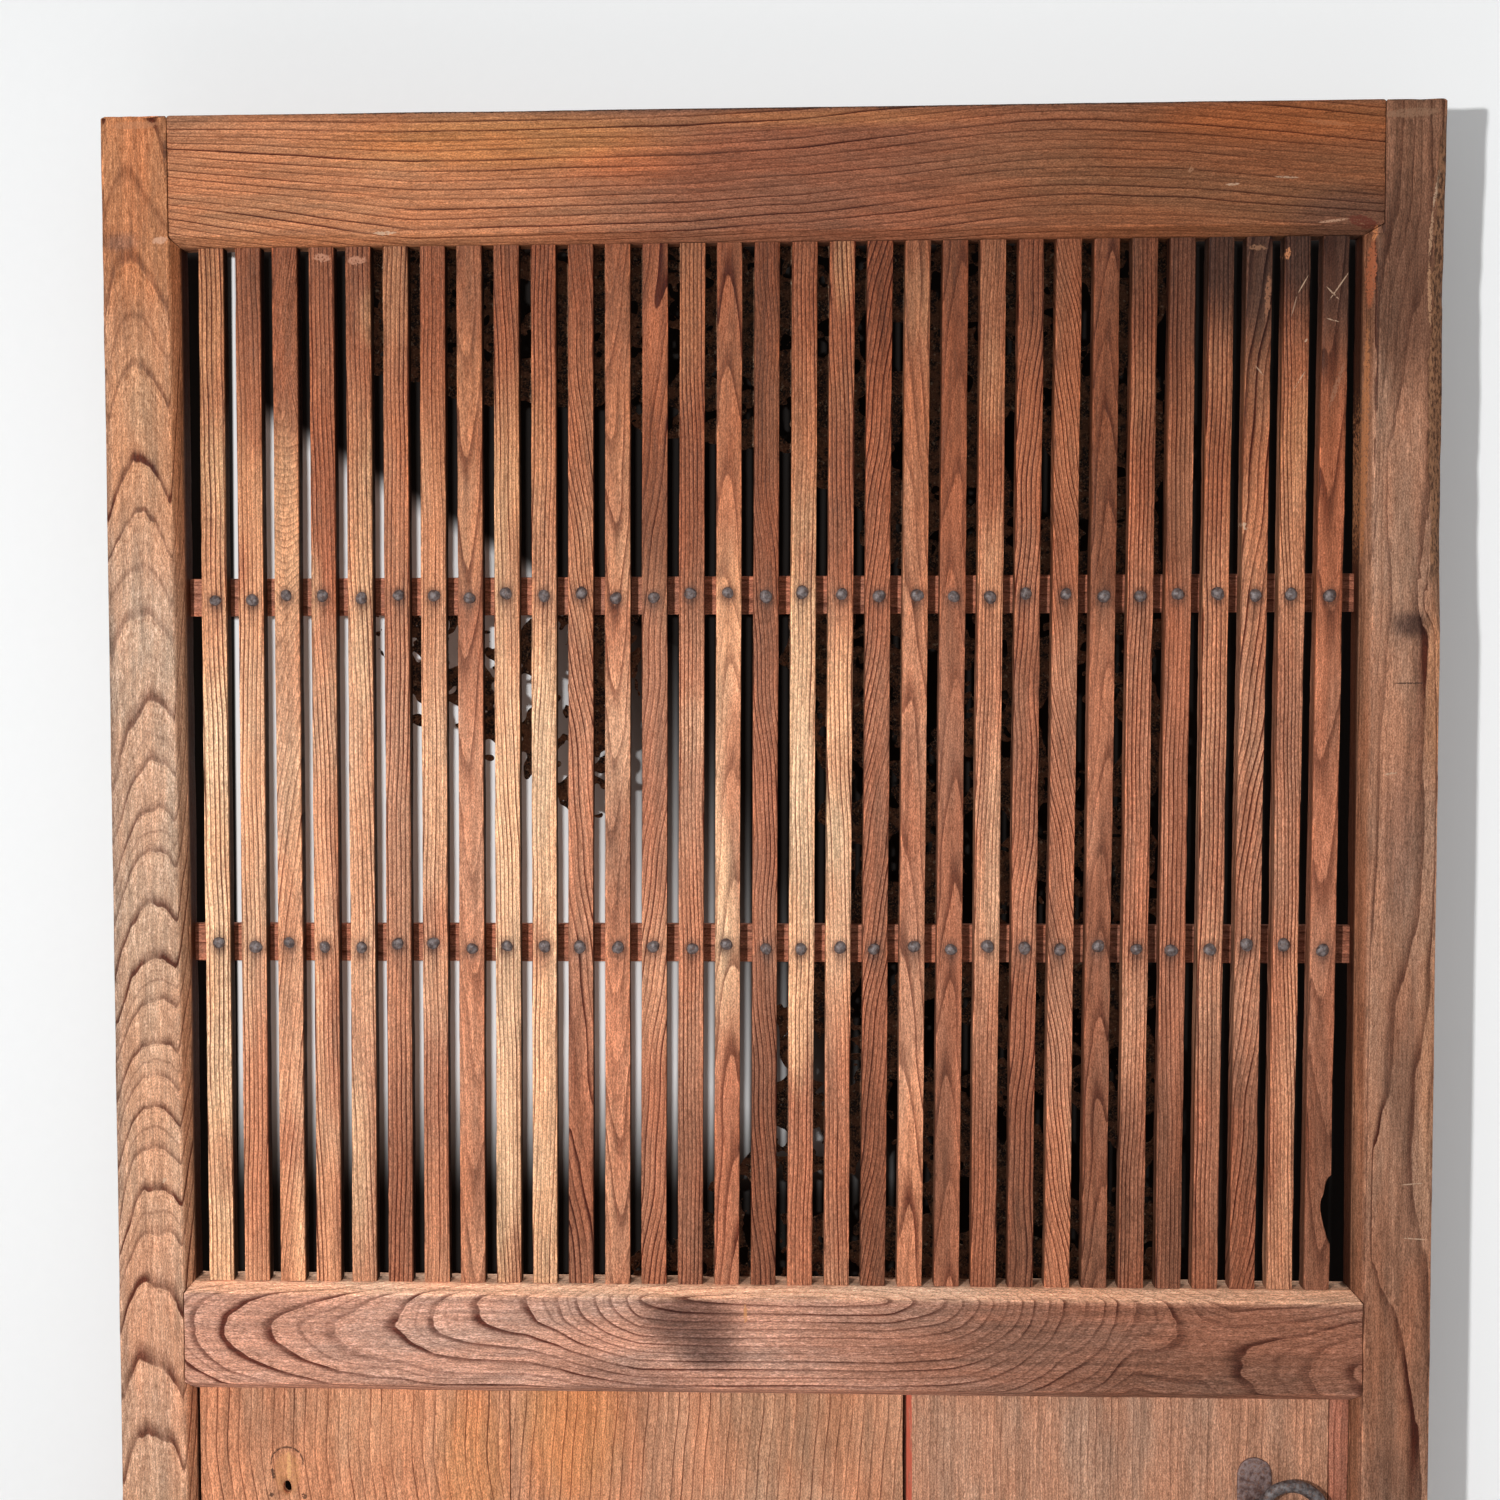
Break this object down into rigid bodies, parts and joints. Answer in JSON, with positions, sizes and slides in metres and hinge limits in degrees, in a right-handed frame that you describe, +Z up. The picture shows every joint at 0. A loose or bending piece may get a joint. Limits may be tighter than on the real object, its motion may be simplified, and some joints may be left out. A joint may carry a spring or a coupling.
{
  "type": "slatted wooden sliding door leaf",
  "caption": "Old timber door leaf: bevelled frame, close upright slats over tie rails in its upper part, boards below, and an iron ring pull.",
  "frame": {"origin": "middle of the leaf's bottom edge, half way through its thickness", "axes": "+X to the right of a person facing the front, +Y into the door, +Z up"},
  "size_m": [1.06, 0.0552, 1.76],
  "materials": {
    "frame": "worn bare softwood-brown hardwood, open grain, rubbed arrises",
    "slats": "worn bare wood, each upright a little different in tone",
    "tie_rails": "bare wood, protected and redder",
    "boards": "weathered straight-grained boards with raised grain",
    "edge_strip": "bare wood with a red-brown stain",
    "rusted_mesh": "flaking rust, ragged",
    "iron": "forged, dark, lightly rusted"
  },
  "bodies": {
    "leaf": {"left_stile": "frame", "right_stile": "frame", "top_rail": "frame", "middle_rail": "frame", "bottom_rail": "frame", "slat_01": "slats", "slat_02": "slats", "slat_03": "slats", "slat_04": "slats", "slat_05": "slats", "slat_06": "slats", "slat_07": "slats", "slat_08": "slats", "slat_09": "slats", "slat_10": "slats", "slat_11": "slats", "slat_12": "slats", "slat_13": "slats", "slat_14": "slats", "slat_15": "slats", "slat_16": "slats", "slat_17": "slats", "slat_18": "slats", "slat_19": "slats", "slat_20": "slats", "slat_21": "slats", "slat_22": "slats", "slat_23": "slats", "slat_24": "slats", "slat_25": "slats", "slat_26": "slats", "slat_27": "slats", "slat_28": "slats", "slat_29": "slats", "slat_30": "slats", "slat_31": "slats", "upper_tie_rail": "tie_rails", "lower_tie_rail": "tie_rails", "mesh_upper": "rusted_mesh", "mesh_rag": "rusted_mesh", "mesh_middle": "rusted_mesh", "mesh_lower": "rusted_mesh", "left_board": "boards", "middle_board": "boards", "right_board": "boards", "edge_strip": "edge_strip", "ring_plate": "iron", "ring_eye": "iron"},
    "ring": {"pull_ring": "iron"}
  },
  "joints": [
    {"name": "ring_pull", "type": "hinge", "parent": "leaf", "child": "ring", "pos_m": [0.398, -0.02145, 0.643], "axis": [0, 0, 1], "range_deg": [-180, 0]}
  ]
}
